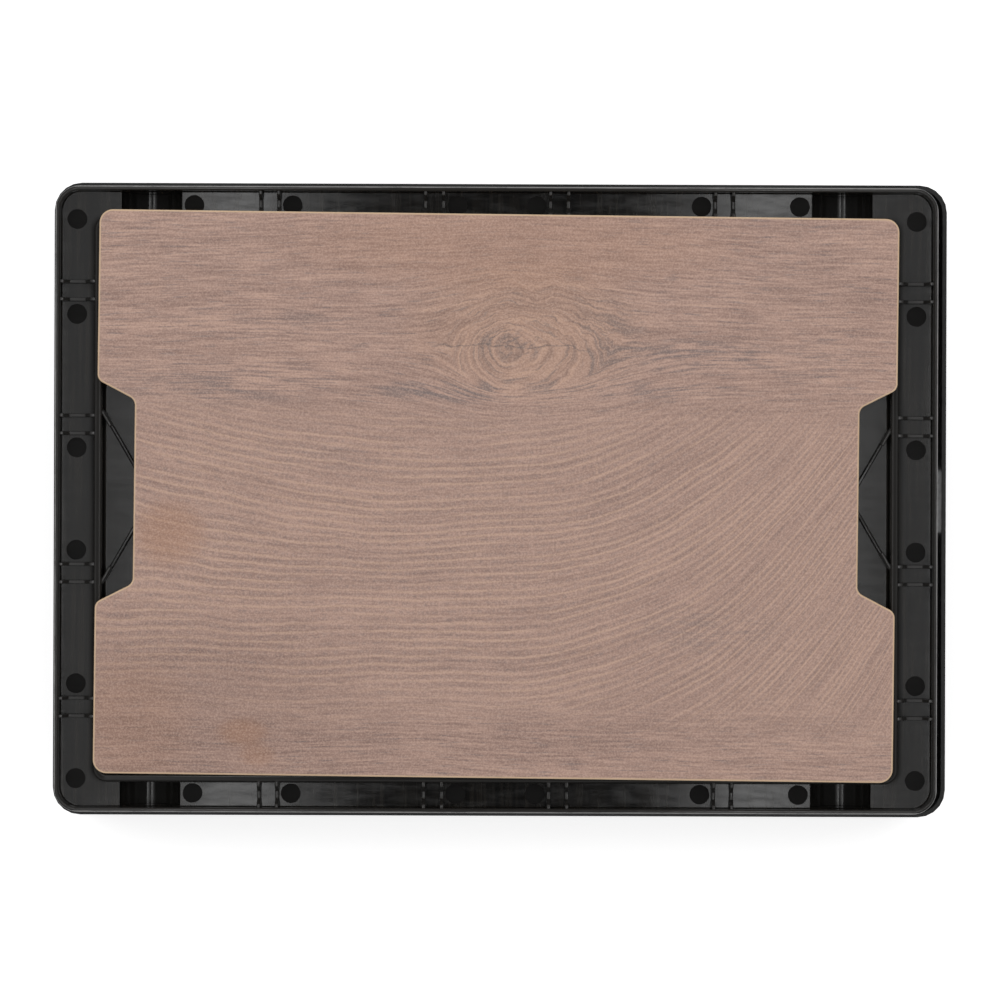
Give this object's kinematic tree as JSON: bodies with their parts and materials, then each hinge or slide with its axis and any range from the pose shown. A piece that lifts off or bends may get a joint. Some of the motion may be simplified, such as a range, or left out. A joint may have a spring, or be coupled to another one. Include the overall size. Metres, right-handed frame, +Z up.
{
  "type": "folding crate with cooler bag",
  "caption": "Folding plastic crate folded flat and turned base up, with a wood-look table board on top and a cooler bag folded inside; it unfolds into a low table.",
  "frame": {"origin": "on the ground under the middle of the folded crate, in the plane of the rim's face that it stands on", "axes": "+X along the crate's long side, +Y across it, +Z up, away from the rim and towards the upturned base and the board"},
  "size_m": [0.49, 0.347, 0.0893],
  "materials": {
    "rim_plastic": "black polypropylene, satin, finely grained",
    "base_plastic": "black polypropylene, half gloss, with moulding marks",
    "wall_plastic": "black polypropylene, satin",
    "end_plastic": "black polypropylene, satin",
    "rod_steel": "zinc-plated steel rod",
    "board_laminate": "matt wood-decor laminate with a thin tan edge",
    "bag_fabric": "padded woven polyester, dark grey",
    "zip_tape": "black zip tape and coil",
    "bag_webbing": "black woven webbing"
  },
  "bodies": {
    "top_rim": {"top_rim": "rim_plastic", "rim_skirt": "rim_plastic", "left_end_wall": "end_plastic", "right_end_wall": "end_plastic", "left_end_rod": "rod_steel", "right_end_rod": "rod_steel", "front_rim_rod": "rod_steel", "back_rim_rod": "rod_steel"},
    "front_upper": {"front_upper_wall": "wall_plastic", "front_mid_rod": "rod_steel"},
    "front_lower": {"front_lower_wall": "wall_plastic", "front_base_rod": "rod_steel"},
    "back_upper": {"back_upper_wall": "wall_plastic", "back_mid_rod": "rod_steel"},
    "back_lower": {"back_lower_wall": "wall_plastic", "back_base_rod": "rod_steel"},
    "base": {"base_tray": "base_plastic", "cooler_bag_body": "bag_fabric", "cooler_bag_lid": "bag_fabric", "cooler_bag_zip": "zip_tape", "bag_handle_front": "bag_webbing", "bag_handle_back": "bag_webbing"},
    "board": {"table_board": "board_laminate"}
  },
  "joints": [
    {"name": "fold", "type": "hinge", "parent": "top_rim", "child": "front_upper", "pos_m": [-0.002, -0.16, 0.0245], "axis": [1, 0, 0], "range_deg": [0, 90]},
    {"name": "front_middle", "type": "hinge", "parent": "front_upper", "child": "front_lower", "pos_m": [-0.002, -0.08, 0.0285], "axis": [1, 0, 0], "range_deg": [-180, 0]},
    {"name": "front_base", "type": "hinge", "parent": "front_lower", "child": "base", "pos_m": [-0.002, -0.16, 0.0325], "axis": [1, 0, 0], "range_deg": [0, 90]},
    {"name": "back_fold", "type": "hinge", "parent": "top_rim", "child": "back_upper", "pos_m": [-0.002, 0.16, 0.0245], "axis": [-1, 0, 0], "range_deg": [0, 90]},
    {"name": "back_middle", "type": "hinge", "parent": "back_upper", "child": "back_lower", "pos_m": [-0.002, 0.08, 0.0285], "axis": [-1, 0, 0], "range_deg": [-180, 0]},
    {"name": "board_lift", "type": "slide", "parent": "base", "child": "board", "axis": [0, 0, 1], "range_m": [0, 0.1]}
  ],
  "couplings": [
    {"joint": "front_middle", "follows": "fold", "ratio": -2},
    {"joint": "front_base", "follows": "fold", "ratio": 1},
    {"joint": "back_fold", "follows": "fold", "ratio": 1},
    {"joint": "back_middle", "follows": "fold", "ratio": -2}
  ]
}
